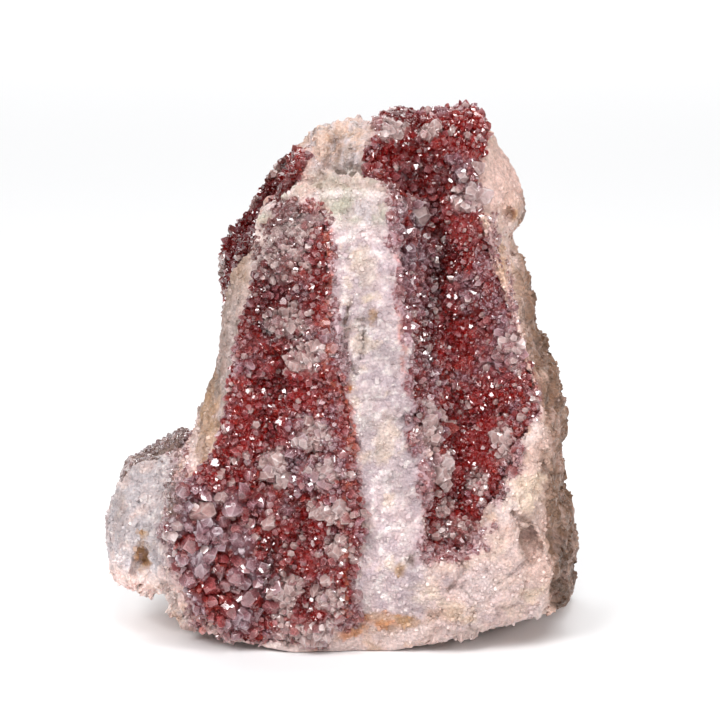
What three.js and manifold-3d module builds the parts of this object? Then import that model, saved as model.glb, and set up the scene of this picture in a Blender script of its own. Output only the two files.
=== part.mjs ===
// Hematoid quartz specimen: a free-standing block of milky quartz, broken from a vein, whose open
// hollows are lined with red drusy quartz. Millimetres, +Z up; the front faces -Y. The origin lies
// on the face that the block rests on, under the middle of its box.

import * as THREE from "three";
import { ImprovedNoise } from "three/addons/math/ImprovedNoise.js";
import { mergeVertices } from "three/addons/utils/BufferGeometryUtils.js";
import Module from "manifold-3d";

const wasm = await Module();
wasm.setup();

// ---------------------------------------------------------------- driving dimensions

const GAP = 0.3; // clearance between a crust and the quartz that it lines
const BED = 2.6; // thickness of the druse's bed, under its crystals
const POINT = 1.15; // height of a crystal's point, as a share of the crystal's half width
const ROOT = 1.4; // depth of a crystal's root in its bed
const SHORTEST_COLUMN = 0.9; // a crystal shorter than this below its point has no column
const REACH_OUT = 26; // how far a hollow's cutter runs out of the rock
const FLOOR_CUT = 60; // half side of the blocks that cut flat faces
const SLIVER = 0.06; // faces narrower than this are merged into their neighbours

// Each mass of the block, as horizontal sections from its foot to its top. left and right are X,
// front and back are Y, and square is how boxy a section is: 2 is an ellipse.
const MASSES = {
  front: {
    height: [-4, 5, 12, 21, 30, 40, 50, 58, 67, 76, 85, 92, 98, 103, 106],
    left: [-33, -40, -43, -45, -44, -39, -34, -31, -29.5, -29.5, -27, -23.5, -19, -14, -8],
    right: [44, 49, 52, 54, 54, 53.5, 52, 49.5, 46, 43.5, 40, 37, 33, 26, 18],
    front: [-29, -33.5, -36, -37, -36, -35, -33.5, -32, -29.5, -27, -24.5, -22, -20, -17, -13],
    back: [20, 22, 22, 22, 22, 22, 22, 21, 20, 19, 18, 16, 14, 12, 10],
    square: 3.6,
    around: 26,
  },
  rear: {
    height: [-4, 8, 20, 32, 49, 60, 70, 79, 86, 92, 98, 104, 109, 113.5, 117.5, 120.5],
    left: [-30, -38, -40, -38, -34, -31, -29.5, -28.5, -27, -25.5, -22, -18, -14.5, -10, -7, -1],
    right: [58, 58.5, 56, 54.5, 54, 50.5, 47.5, 45, 42.5, 39.5, 41.5, 42.5, 40.5, 38, 35, 30],
    front: [-12, -12, -12, -12, -12, -12, -12, -11, -10, -9, -8, -6.5, -5.5, -4, -2, 2],
    back: [30, 34, 36, 36, 36, 35.5, 34.5, 33, 31, 28.5, 27, 26, 25, 24, 23, 20],
    square: 3.2,
    around: 26,
  },
  lobe: {
    height: [7, 10, 16, 24, 32, 37, 40, 43],
    left: [-50, -56, -57, -57.5, -55.5, -52.5, -48, -40],
    right: [-28, -28, -28, -28, -28, -28, -28, -28],
    front: [-13, -18, -20, -18, -14, -10, -7, -2],
    back: [18, 23, 25, 24, 21, 18, 15, 10],
    square: 2.7,
    around: 18,
  },
};

// Breaks: flat faces where the block parted from the vein. at is a point of the face and out is
// the way that it looks.
const BREAKS = [
  { at: [0, 0, 0], out: [0, 0, -1] }, // the face that it rests on
  { at: [55.3, 10, 24], out: [0.985, -0.17, 0.05] }, // right side
  { at: [38, -30, 6.8], out: [0.24, -0.19, -0.95] }, // undercut of the front's right foot
  { at: [-32, -30, 4.2], out: [-0.22, -0.15, -0.965] }, // undercut of the front's left foot
  { at: [2, -14.5, 104], out: [-0.05, -0.72, 0.69] }, // bevel of the front ledge
  { at: [14, 34, 40], out: [0.3, 0.94, 0.1] }, // rear, right of its middle
  { at: [26, 31, 14], out: [0.25, 0.82, -0.5] }, // rear foot, right of its middle
  { at: [-24, 27, 12], out: [-0.5, 0.68, -0.52] }, // rear foot, left of its middle
  { at: [-18, 31, 56], out: [-0.34, 0.9, 0.27] }, // rear, left of its middle
  { at: [6, 28, 100], out: [0.08, 0.86, 0.5] }, // rear of the top
  { at: [-48, 19, 28], out: [-0.6, 0.78, 0.1] }, // rear of the lobe
  { at: [-9.5, 10, 115.5], out: [-0.8, 0.1, 0.6] }, // left slope of the top
  { at: [46, 27, 84], out: [0.7, 0.7, 0.1] }, // rear right edge
];

// Pits, as ellipsoids: centre, half sizes and turn about Y in degrees.
const PITS = [
  { at: [-48.5, -18.5, 17.5], half: [1.7, 5, 4.6], turn: 24 },
  { at: [42.5, -31.5, 25], half: [2.1, 4, 4.2], turn: -12 },
  { at: [51.5, -20, 34], half: [2.2, 5, 3.2], turn: 0 },
  { at: [38, -3, 97], half: [2.2, 4.5, 2.4], turn: 30 },
];

// Hollows: the middle line of each on the block's surface, from one end to the other, with its
// half width and depth at each of those points. across is the way that its width runs.
const HOLLOWS = {
  left: {
    path: [
      [-13, -30, 2.6], [-16.5, -32.5, 7], [-17, -34, 12], [-18.6, -35, 19], [-18.8, -35, 25],
      [-18.6, -34.5, 30.5], [-18.6, -33.5, 36.5], [-16, -32.5, 42.5], [-13.5, -31.5, 49],
      [-13.2, -29.5, 58], [-13.8, -27.5, 66], [-14, -25.5, 75], [-12.8, -22.5, 84],
      [-12.2, -20, 92], [-10.4, -18, 97.5], [-7.5, -16.5, 101],
    ],
    half: [8, 12.5, 17.8, 19.2, 21.4, 22.6, 21.6, 18, 15.2, 13.6, 12.2, 9.8, 8.4, 7.8, 6, 2.5],
    depth: [4, 5.5, 7, 7.5, 8, 8, 8, 7.5, 7, 6.8, 6.5, 6.2, 5.6, 5, 4, 2.5],
    across: [1, -0.1, 0],
    grid: [6, 15],
    crystals: { count: [5, 14], width: [5, 9], tall: [2.6, 5.6] },
  },
  right: {
    path: [
      [22.8, -30, 24.5], [24, -30, 30], [27, -29.5, 38], [28.6, -28.5, 46], [29.8, -26, 55],
      [28.4, -23.5, 63], [27.8, -21, 70], [25.6, -18.5, 77], [23.6, -15.5, 84],
      [22.4, -12.5, 91], [21.2, -9.5, 98], [19.5, -7.5, 103.5], [17, -6, 109],
      [18, -4.5, 114], [19.6, -2, 118], [20, 4, 120.6], [20, 12, 121],
    ],
    half: [4, 6.5, 7.8, 9.6, 14.4, 14, 12.6, 12.8, 12, 10.4, 10, 11.2, 13.6, 14.8, 14.6, 13, 10],
    depth: [4, 6, 8, 9, 10.5, 11, 11.5, 12, 11.5, 10.5, 9.5, 8.5, 7.5, 6.5, 5, 3.4, 2.6],
    across: [1, 0.12, 0],
    grid: [6, 16],
    crystals: { count: [4, 16], width: [5, 8.5], tall: [2.4, 5] },
  },
  rear: {
    path: [
      [-26, 5.5, 76], [-26, 5.5, 84], [-23.6, 6, 92], [-19.6, 6.5, 99], [-15.4, 7, 106],
      [-11.4, 7.5, 112],
    ],
    half: [10, 12, 12.5, 12.5, 11.5, 9],
    depth: [2.8, 3.6, 4, 4, 3.6, 2.6],
    across: [0.2, -0.98, 0],
    grid: [5, 7],
    crystals: { count: [4, 7], width: [5, 7.4], tall: [2.4, 4] },
  },
  lobe: {
    path: [
      [-51.5, 3, 35.5], [-47.5, 4, 37.6], [-43, 5, 40], [-38, 6, 43],
    ],
    half: [5, 7, 7.5, 6.5],
    depth: [1.8, 2.4, 2.6, 2.2],
    across: [0, -1, 0],
    grid: [4, 4],
    crystals: { count: [3, 5], width: [3, 4.4], tall: [1.6, 2.6] },
  },
};

// ---------------------------------------------------------------- helpers

const noise = new ImprovedNoise();
const seeded = THREE.MathUtils.seededRandom;
const between = (low, high) => low + (high - low) * seeded();
const spread = (size) => (seeded() * 2 - 1) * size;

// The value at place, of a row of values that belong to the rising places of another row.
function along(places, values, place) {
  const row = new THREE.LinearInterpolant(places, values, 1);
  return row.evaluate(place)[0];
}

// A smooth wander of the rock's surface, in millimetres, that depends on the place alone.
function wander(p) {
  const turn = (shift) =>
    1.9 * noise.noise(p.x / 19 + shift, p.y / 19, p.z / 23 - shift) +
    1.0 * noise.noise(p.x / 7.5, p.y / 7.5 + shift, p.z / 9 + 2 * shift);
  return new THREE.Vector3(turn(3.1), turn(7.7), 0.7 * turn(12.3));
}

// Moves each vertex of a geometry to where move puts it.
function warp(geometry, move) {
  const position = geometry.getAttribute("position");
  const p = new THREE.Vector3();
  for (let i = 0; i < position.count; i++) {
    p.fromBufferAttribute(position, i);
    const q = move(p);
    position.setXYZ(i, q.x, q.y, q.z);
  }
  return geometry;
}

// A closed geometry as a solid, its shared vertices merged and its empty faces left out.
function solid(geometry) {
  const bare = geometry.clone();
  bare.deleteAttribute("normal");
  bare.deleteAttribute("uv");
  const merged = mergeVertices(bare, 1e-3);
  const corners = merged.index.array;
  const kept = [];
  for (let i = 0; i < corners.length; i += 3) {
    const [a, b, c] = corners.slice(i, i + 3);
    if (a !== b && b !== c && c !== a) kept.push(a, b, c);
  }
  const mesh = new wasm.Mesh({
    numProp: 3,
    vertProperties: merged.getAttribute("position").array,
    triVerts: new Uint32Array(kept),
  });
  return new wasm.Manifold(mesh);
}

// A solid's surface as a geometry.
function surface(made) {
  const { vertProperties, triVerts, numProp, numVert } = made.getMesh();
  const places = new Float32Array(numVert * 3);
  for (let i = 0; i < numVert; i++) {
    places.set(vertProperties.subarray(i * numProp, i * numProp + 3), i * 3);
  }
  const geometry = new THREE.BufferGeometry();
  geometry.setAttribute("position", new THREE.BufferAttribute(places, 3));
  geometry.setIndex(new THREE.BufferAttribute(new Uint32Array(triVerts), 1));
  return geometry;
}

// The outer shell of a solid's largest body, without its slivers: it has no sealed space inside.
function largest(made) {
  const bodies = solid(surface(made.simplify(SLIVER))).decompose();
  return bodies.sort((a, b) => b.volume() - a.volume())[0];
}

// A solid as a named mesh of the model.
function part(name, made, material) {
  const geometry = surface(made);
  geometry.computeVertexNormals();
  const mesh = new THREE.Mesh(geometry, material);
  mesh.name = name;
  return mesh;
}

// ---------------------------------------------------------------- quartz block

// One mass: a round column whose rings take the sections of the mass, with a wandering surface.
function mass({ height, left, right, front, back, square, around }) {
  const up = height.length - 1;
  const column = new THREE.CylinderGeometry(1, 1, 1, around, up);
  const flatten = (x) => Math.sign(x) * Math.abs(x) ** (2 / square);
  return solid(
    warp(column, (p) => {
      const z = height[Math.round((p.y + 0.5) * up)];
      const [l, r, f, b] = [left, right, front, back].map((row) => along(height, row, z));
      const reach = Math.hypot(p.x, p.z);
      const x = reach > 0 ? flatten(p.x / reach) * reach : 0;
      const y = reach > 0 ? flatten(-p.z / reach) * reach : 0;
      const q = new THREE.Vector3(
        (l + r) / 2 + (x * (r - l)) / 2,
        (f + b) / 2 + (y * (b - f)) / 2,
        z,
      );
      return q.add(wander(q));
    }),
  );
}

// The block of rock that lies beyond a flat face and is broken away.
function broken({ at, out }) {
  const block = new THREE.BoxGeometry(2 * FLOOR_CUT, 2 * FLOOR_CUT, FLOOR_CUT);
  block.translate(0, 0, FLOOR_CUT / 2);
  const way = new THREE.Vector3(...out).normalize();
  block.applyQuaternion(
    new THREE.Quaternion().setFromUnitVectors(new THREE.Vector3(0, 0, 1), way),
  );
  block.translate(...at);
  return solid(block);
}

function pit({ at, half, turn }) {
  const ball = new THREE.IcosahedronGeometry(1, 1);
  ball.scale(...half);
  ball.rotateY(THREE.MathUtils.degToRad(turn));
  ball.translate(...at);
  return solid(ball);
}

// ---------------------------------------------------------------- hollows and their crusts

// The floor of a hollow: a function of u, from -1 to 1 across it, and w, from 0 to 1 along it,
// that gives the floor's point and the way out of the rock there.
function floorOf({ path, half, depth, across }) {
  const line = new THREE.CatmullRomCurve3(path.map((p) => new THREE.Vector3(...p)));
  const places = path.map((_, i) => i / (path.length - 1));
  const side = new THREE.Vector3(...across).normalize();
  const point = (u, w) => {
    const out = side.clone().cross(line.getTangent(w)).normalize();
    const ripple = 0.5 * noise.noise(u * 2.1, w * path.length, half[0]);
    return line
      .getPoint(w)
      .addScaledVector(side, along(places, half, w) * u)
      .addScaledVector(out, -along(places, depth, w) * (1 - u * u) + ripple);
  };
  const out = (u, w) => {
    const step = 0.01;
    const du = point(u + step, w).sub(point(u - step, w));
    const low = Math.max(0, w - step);
    const high = Math.min(1, w + step);
    const dw = point(u, high).sub(point(u, low));
    return du.cross(dw).normalize();
  };
  const straightOut = (w) => side.clone().cross(line.getTangent(w)).normalize();
  return { point, out, straightOut, along: (w) => line.getTangent(w) };
}

// The space that a hollow takes from the rock, from its floor to well outside.
function hollow(shape) {
  const floor = floorOf(shape);
  const [nu, nw] = shape.grid;
  const box = new THREE.BoxGeometry(2, 1, 1, nu, 1, nw);
  return solid(
    warp(box, ({ x: u, y: v, z }) => {
      const w = z + 0.5;
      const p = floor.point(u, w);
      return v > 0 ? p : p.addScaledVector(floor.straightOut(w), REACH_OUT);
    }),
  );
}

// One quartz crystal, standing on the origin along +Z: a root, a six-sided column if it is tall
// enough to show one, and a point that leans a little, so that its six faces differ.
function crystal(width, tall, lean) {
  const r = width / 2;
  const column = tall - POINT * r;
  const outline = [[0, -ROOT], [r, 0], [0.95 * r, column], [0, tall]];
  if (column < SHORTEST_COLUMN) outline.splice(2, 1);
  const turned = new THREE.LatheGeometry(outline.map(([x, y]) => new THREE.Vector2(x, y)), 6);
  turned.rotateX(Math.PI / 2);
  const tip = new THREE.Vector3(lean * r, 0.5 * lean * r, 0);
  return warp(turned, (p) => (p.z > tall - 0.01 ? p.add(tip) : p));
}

// The bed of a crust: a slab that follows the hollow's floor and stands clear of its walls.
function bedOf(shape, floor) {
  const [nu, nw] = shape.grid;
  const side = new THREE.Vector3(...shape.across).normalize();
  const box = new THREE.BoxGeometry(2, 1, 1, nu, 1, nw);
  const atEdge = (x) => (Math.abs(x) > 0.999 ? -Math.sign(x) * GAP : 0);
  return solid(
    warp(box, ({ x: u, y: v, z }) => {
      const w = z + 0.5;
      const lift = v > 0 ? GAP : GAP + bedAt(u);
      return floor
        .point(u, w)
        .addScaledVector(floor.out(u, w), lift)
        .addScaledVector(side, atEdge(u))
        .addScaledVector(floor.along(w), atEdge(2 * z));
    }),
  );
}

// The bed is thinner towards the hollow's edges.
const bedAt = (u) => BED * (1 - 0.45 * u * u);

// The crust of a hollow: its bed, with crystals grown from it. A crystal that would reach into the
// rock is left out.
function crust(shape, rock) {
  const floor = floorOf(shape);
  const { count, width, tall } = shape.crystals;
  let grown = bedOf(shape, floor);
  for (let j = 0; j < count[1]; j++) {
    for (let i = 0; i < count[0]; i++) {
      const u = (2 * (i + 0.5 + spread(0.32))) / count[0] - 1;
      const w = (j + 0.5 + spread(0.35)) / count[1];
      const size = between(0, 1) ** 1.6;
      const one = crystal(
        width[0] + (width[1] - width[0]) * size,
        tall[0] + (tall[1] - tall[0]) * size,
        spread(0.4),
      );
      const up = new THREE.Vector3(0, 0, 1);
      const way = floor.out(u, w).add(new THREE.Vector3(spread(0.35), spread(0.35), spread(0.35)));
      const turn = new THREE.Quaternion().setFromUnitVectors(up, way.normalize());
      turn.multiply(new THREE.Quaternion().setFromAxisAngle(up, between(0, 1)));
      const foot = floor.point(0.93 * u, w).addScaledVector(floor.out(u, w), GAP + bedAt(u) - 0.2);
      const grow = (factor) =>
        solid(one.clone().scale(factor, factor, 1).applyQuaternion(turn).translate(...foot));
      const clear = grow(1.12).intersect(rock).volume() === 0;
      if (clear) grown = grown.add(grow(1));
    }
  }
  return largest(grown);
}

// ---------------------------------------------------------------- the specimen

const stone = {
  quartz: new THREE.MeshStandardMaterial({ color: 0xd9c9c4, roughness: 0.62 }),
  redDruse: new THREE.MeshStandardMaterial({ color: 0x7c2b25, roughness: 0.18 }),
  mauveDruse: new THREE.MeshStandardMaterial({ color: 0x8a6468, roughness: 0.2 }),
};

seeded(20);
const whole = Object.values(MASSES).map(mass).reduce((a, b) => a.add(b));
const taken = [
  ...BREAKS.map(broken),
  ...PITS.map(pit),
  ...Object.values(HOLLOWS).map(hollow),
];
const block = taken.reduce((rock, piece) => rock.subtract(piece), whole);
const quartz = largest(block); // the hollows may cut loose a thin edge

const specimen = new THREE.Group();
specimen.add(
  part("quartz_block", quartz, stone.quartz),
  part("left_druse", crust(HOLLOWS.left, quartz), stone.mauveDruse),
  part("right_druse", crust(HOLLOWS.right, quartz), stone.redDruse),
  part("rear_druse", crust(HOLLOWS.rear, quartz), stone.redDruse),
  part("lobe_druse", crust(HOLLOWS.lobe, quartz), stone.mauveDruse),
);

const middle = new THREE.Box3().setFromObject(specimen).getCenter(new THREE.Vector3());
specimen.children.forEach((mesh) => mesh.geometry.translate(-middle.x, -middle.y, 0));

export default specimen;
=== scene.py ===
"""Looks of a hematoid quartz specimen: a milky block with its hollows lined by red and mauve crystals.

Places and sizes are in millimetres here, and a mesh turns to metres as it is filled.
"""

import math

import bmesh
import bpy
import numpy as np
from mathutils import Matrix, Vector, noise
from mathutils.bvhtree import BVHTree
from mathutils.kdtree import KDTree


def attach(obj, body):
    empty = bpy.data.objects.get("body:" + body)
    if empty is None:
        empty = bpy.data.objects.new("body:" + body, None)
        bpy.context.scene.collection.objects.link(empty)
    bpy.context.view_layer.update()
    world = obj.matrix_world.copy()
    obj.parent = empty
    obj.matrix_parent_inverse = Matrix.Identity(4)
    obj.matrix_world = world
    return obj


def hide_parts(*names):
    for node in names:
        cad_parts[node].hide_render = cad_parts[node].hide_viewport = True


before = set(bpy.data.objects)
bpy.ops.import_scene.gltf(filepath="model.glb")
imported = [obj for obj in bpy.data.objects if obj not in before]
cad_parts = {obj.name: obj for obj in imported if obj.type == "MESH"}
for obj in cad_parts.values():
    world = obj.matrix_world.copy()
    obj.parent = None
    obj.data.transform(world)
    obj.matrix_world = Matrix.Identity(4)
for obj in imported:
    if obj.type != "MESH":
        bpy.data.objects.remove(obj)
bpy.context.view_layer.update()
scene = bpy.context.scene
MM = 0.001

# The same specimen grows on every run.
SEED = 17
dice = np.random.default_rng(SEED)
noise.seed_set(SEED)


# ---------------------------------------------------------------- colours


def linear(red, green, blue):
    """A colour given as on a paint card, from 0 to 255, as linear light."""
    card = np.array([red, green, blue]) / 255
    return np.where(card < 0.04045, card / 12.92, ((card + 0.055) / 1.055) ** 2.4)


MILK = linear(224, 202, 198)
SNOW = linear(240, 228, 224)
LILAC = linear(204, 182, 187)
ICE = linear(202, 191, 194)
BEIGE = linear(214, 180, 160)
PINK = linear(220, 184, 174)
CREAM = linear(234, 208, 186)
GREY_GREEN = linear(188, 180, 164)
STONE = linear(158, 134, 120)
BROWN = linear(124, 90, 66)
UMBER = linear(84, 60, 46)
CLAY = linear(150, 112, 90)
TAN = linear(190, 146, 104)
RUST = linear(204, 130, 66)

OXIDE = linear(84, 10, 10)
BLOOD = linear(178, 18, 16)
BRICK = linear(216, 60, 42)
EMBER = linear(222, 112, 86)
ROSE = linear(228, 132, 126)
MAUVE = linear(224, 160, 174)
GLASSY = linear(250, 224, 228)
SILVER = linear(216, 196, 206)
FROST = linear(252, 220, 214)


def blend(a, b, share):
    """From colour a to colour b, by a share for each row."""
    share = np.clip(share, 0, 1)[:, None]
    return a * (1 - share) + b * share


# ---------------------------------------------------------------- fields over the surface


def cloud(points, size, seed=0.0, octaves=2, stretch=(1, 1, 1)):
    """Smooth noise of about -1 to 1 with lumps of about size mm, longer where stretch is over 1."""
    scaled = points / (size * np.array(stretch)) + seed
    return np.array([noise.fractal(p, 1.0, 2.0, octaves) for p in scaled.tolist()])


def chips(points, size, seed, slope):
    """Heights in mm of flat, leaning chips about size mm across, and 1 in the cracks between."""
    heights, gaps = [], []
    for place in (points / size + seed).tolist():
        far, centres = noise.voronoi(place)
        heights.append((Vector(place) - centres[0]).dot(noise.noise_vector(centres[0] * 5.3)))
        gaps.append(far[1] - far[0])
    return size * slope * np.array(heights), step(0.1, 0.0, np.array(gaps))


def domes(points, size, seed):
    """Rounded heads about size mm across: 1 on top of a head, 0 in the gaps between heads."""
    near = np.array([noise.voronoi(p)[0][0] for p in (points / size + seed).tolist()])
    return np.clip(1 - (near / 0.75) ** 2, 0, 1)


def step(low, high, values):
    """A soft step from 0 at low to 1 at high."""
    t = np.clip((values - low) / (high - low), 0, 1)
    return t * t * (3 - 2 * t)


def patch(points, x, z, wide, tall, ragged=0.35):
    """1 in a ragged oval seen from the front, 0 outside it."""
    far = np.hypot((points[:, 0] - x) / wide, (points[:, 2] - z) / tall)
    if ragged:
        far = far + ragged * cloud(points, 0.7 * min(wide, tall) + 1.2, x, 4)
    return step(1.3, 0.5, far)


def share_of(spots, p):
    """The greatest share of the ragged ovals, each x, z, half width, half height and share, at places p."""
    total = np.zeros(len(p))
    for x, z, wide, tall, share in spots:
        total = np.maximum(total, share * patch(p, x, z, wide, tall, 0.5))
    return total


def seam(points, path, wide):
    """1 on a line down the front, given as x and z from the bottom up, and 0 from wide mm away."""
    xs, zs = zip(*path)
    off = np.abs(points[:, 0] - np.interp(points[:, 2], zs, xs) + 1.2 * cloud(points, 3, xs[0], 3))
    inside = (points[:, 2] > zs[0]) & (points[:, 2] < zs[-1])
    return inside * step(wide, 0.2 * wide, off) * step(-0.6, 0.1, cloud(points, 2.2, xs[0] + 3, 2))


# ---------------------------------------------------------------- meshes


def copy_of(node, name):
    """A copy of a CAD node as a new piece, its doubles merged."""
    piece = bpy.data.objects.new(name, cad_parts[node].data.copy())
    scene.collection.objects.link(piece)
    piece.data.materials.clear()
    bm = bmesh.new()
    bm.from_mesh(piece.data)
    bmesh.ops.remove_doubles(bm, verts=bm.verts, dist=1e-6)
    bm.to_mesh(piece.data)
    bm.free()
    return piece


def remeshed(piece, voxel):
    """Even quads of voxel mm all over a piece."""
    grid = piece.modifiers.new("grid", "REMESH")
    grid.mode = "VOXEL"
    grid.voxel_size = voxel * MM
    shown = piece.evaluated_get(bpy.context.evaluated_depsgraph_get())
    mesh = bpy.data.meshes.new_from_object(shown)
    piece.modifiers.clear()
    piece.data = mesh


def softened(piece, times):
    """Evens out a piece, and turns its faces outward."""
    bm = bmesh.new()
    bm.from_mesh(piece.data)
    for _ in range(times):
        bmesh.ops.smooth_vert(
            bm, verts=bm.verts, factor=0.5, use_axis_x=True, use_axis_y=True, use_axis_z=True
        )
    bmesh.ops.recalc_face_normals(bm, faces=bm.faces)
    bm.to_mesh(piece.data)
    bm.free()


def vertices_of(piece):
    """Places in mm and normals of a piece's vertices."""
    mesh = piece.data
    places = np.zeros(len(mesh.vertices) * 3, np.float32)
    mesh.vertices.foreach_get("co", places)
    normals = np.array([v.vector for v in mesh.vertex_normals])
    return places.reshape(-1, 3).astype(float) / MM, normals


def moved(piece, places):
    """Puts a piece's vertices at places in mm."""
    piece.data.vertices.foreach_set("co", (places * MM).astype(np.float32).ravel())
    piece.data.update()


def painted(piece, colours):
    """Stores a tint for each vertex."""
    layer = piece.data.attributes.new("tint", "FLOAT_COLOR", "POINT")
    full = np.concatenate([np.clip(colours, 0, 1), np.ones((len(colours), 1))], 1)
    layer.data.foreach_set("color", full.astype(np.float32).ravel())


# ---------------------------------------------------------------- materials


def material(name):
    """A new material: its node tree, its main shader and a maker of further nodes."""
    made = bpy.data.materials.new(name)
    made.use_nodes = True
    tree = made.node_tree
    shader = tree.nodes["Principled BSDF"]

    def node(kind, **settings):
        new = tree.nodes.new(kind)
        for key, value in settings.items():
            if key in new.inputs:
                new.inputs[key].default_value = value
            else:
                setattr(new, key, value)
        return new

    return made, tree.links.new, shader, node


def mottled(name, scale, dark, light):
    """A material whose tint is mottled by clouds of a scale, between a dark and a light share."""
    made, link, shader, node = material(name)
    place = node("ShaderNodeTexCoord")
    tint = node("ShaderNodeAttribute", attribute_name="tint")
    clouds = node("ShaderNodeTexNoise", Scale=scale, Detail=3, Roughness=0.65)
    link(place.outputs["Object"], clouds.inputs["Vector"])
    share = node("ShaderNodeMapRange")
    share.inputs["From Min"].default_value = 0.3
    share.inputs["From Max"].default_value = 0.7
    share.inputs["To Min"].default_value = dark
    share.inputs["To Max"].default_value = light
    link(clouds.outputs["Fac"], share.inputs["Value"])
    shade = node("ShaderNodeMix", data_type="RGBA", blend_type="MULTIPLY")
    shade.inputs["Factor"].default_value = 1.0
    link(tint.outputs["Color"], shade.inputs["A"])
    link(share.outputs["Result"], shade.inputs["B"])
    link(shade.outputs["Result"], shader.inputs["Base Color"])
    return made, link, shader, node, place, clouds


def rough_between(link, node, shader, source, low, high):
    """Roughness that varies from low to high with a source."""
    rough = node("ShaderNodeMapRange")
    rough.inputs["To Min"].default_value = low
    rough.inputs["To Max"].default_value = high
    link(source, rough.inputs["Value"])
    link(rough.outputs["Result"], shader.inputs["Roughness"])


def quartz_material():
    """Milky quartz, sugary on its surface, with a little light inside."""
    made, link, shader, node, place, clouds = mottled("milky_quartz", 1400, 0.7, 1.16)
    cells = node("ShaderNodeTexVoronoi", Scale=1300)
    link(place.outputs["Object"], cells.inputs["Vector"])
    rough_between(link, node, shader, cells.outputs["Color"], 0.25, 0.62)
    grain = node("ShaderNodeBump", Strength=0.6, Distance=0.0005)
    link(cells.outputs["Distance"], grain.inputs["Height"])
    fine = node("ShaderNodeBump", Strength=0.6, Distance=0.0003)
    link(clouds.outputs["Fac"], fine.inputs["Height"])
    link(grain.outputs["Normal"], fine.inputs["Normal"])
    link(fine.outputs["Normal"], shader.inputs["Normal"])
    shader.inputs["IOR"].default_value = 1.54
    shader.inputs["Subsurface Weight"].default_value = 0.3
    shader.inputs["Subsurface Radius"].default_value = (1.0, 0.7, 0.6)
    shader.inputs["Subsurface Scale"].default_value = 0.0016
    return made


def grain_material():
    """Grains like sugar, a little clearer than the rock."""
    made, link, shader, node, _, clouds = mottled("quartz_grains", 1100, 0.85, 1.1)
    rough_between(link, node, shader, clouds.outputs["Fac"], 0.15, 0.6)
    shader.inputs["IOR"].default_value = 1.54
    return made


def growth_faces(link, node, shader, place, scale, lean):
    """Breaks each face into small ones of 1 / scale m, each leaning its own way."""
    cells = node("ShaderNodeTexVoronoi", Scale=scale)
    link(place.outputs["Object"], cells.inputs["Vector"])
    about = node("ShaderNodeVectorMath", operation="SUBTRACT")
    about.inputs[1].default_value = (0.5, 0.5, 0.5)
    link(cells.outputs["Color"], about.inputs[0])
    part = node("ShaderNodeVectorMath", operation="SCALE", Scale=lean)
    link(about.outputs["Vector"], part.inputs[0])
    leaning = node("ShaderNodeVectorMath", operation="ADD")
    link(part.outputs["Vector"], leaning.inputs[0])
    link(node("ShaderNodeNewGeometry").outputs["Normal"], leaning.inputs[1])
    ways = node("ShaderNodeVectorMath", operation="NORMALIZE")
    link(leaning.outputs["Vector"], ways.inputs[0])
    link(ways.outputs["Vector"], shader.inputs["Normal"])
    link(ways.outputs["Vector"], shader.inputs["Coat Normal"])


def druse_material(name, clear, dark, polish, haze, glint, faces=1100, lean=0.5):
    """Crystals with a painted highlight that makes the edges of their faces pale, as where they catch the
    light.
    """
    made, link, shader, node, place, clouds = mottled(name, 1000, dark, 1.2)
    rough_between(link, node, shader, clouds.outputs["Fac"], polish, haze)
    facet = node("ShaderNodeAttribute", attribute_name="facet")
    off = node("ShaderNodeSeparateColor")
    link(facet.outputs["Color"], off.inputs["Color"])
    two = node("ShaderNodeMath", operation="MINIMUM")
    link(off.outputs["Red"], two.inputs[0])
    link(off.outputs["Green"], two.inputs[1])
    nearest = node("ShaderNodeMath", operation="MINIMUM")
    link(two.outputs["Value"], nearest.inputs[0])
    link(off.outputs["Blue"], nearest.inputs[1])
    # Painted highlight: the base colour is screened lighter towards the edges of each face, by glint.
    edge = node("ShaderNodeMapRange")
    edge.inputs["From Max"].default_value = 0.22
    edge.inputs["To Min"].default_value = glint
    edge.inputs["To Max"].default_value = 0
    link(nearest.outputs["Value"], edge.inputs["Value"])
    lit = node("ShaderNodeMix", data_type="RGBA", blend_type="SCREEN")
    link(edge.outputs["Result"], lit.inputs["Factor"])
    body = shader.inputs["Base Color"].links[0].from_socket
    link(body, lit.inputs["A"])
    link(body, lit.inputs["B"])
    link(lit.outputs["Result"], shader.inputs["Base Color"])
    shader.inputs["IOR"].default_value = 1.54
    growth_faces(link, node, shader, place, faces, lean)
    shader.inputs["Specular IOR Level"].default_value = 0.8
    shader.inputs["Transmission Weight"].default_value = clear
    shader.inputs["Coat Weight"].default_value = 0.5
    shader.inputs["Coat IOR"].default_value = 1.7
    shader.inputs["Coat Roughness"].default_value = 0.02
    return made


def bed_material():
    """The dark red ground between the crystals of a hollow."""
    made, link, shader, node, _, clouds = mottled("hematite_bed", 1600, 0.6, 1.3)
    bump = node("ShaderNodeBump", Strength=0.8, Distance=0.0005)
    link(clouds.outputs["Fac"], bump.inputs["Height"])
    link(bump.outputs["Normal"], shader.inputs["Normal"])
    shader.inputs["Roughness"].default_value = 0.4
    shader.inputs["IOR"].default_value = 1.6
    return made


QUARTZ = quartz_material()
GRAINS = grain_material()
DRUSE = druse_material("hematoid_druse", 0.6, 0.65, 0.03, 0.2, 1.0)
FROSTED = druse_material("frosted_quartz", 0.5, 0.75, 0.05, 0.25, 0.9, 800, 0.4)
BOLD = druse_material("clear_points", 0.6, 0.75, 0.02, 0.15, 1.0, 600, 0.3)
BED = bed_material()


# ---------------------------------------------------------------- crystal forms


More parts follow.
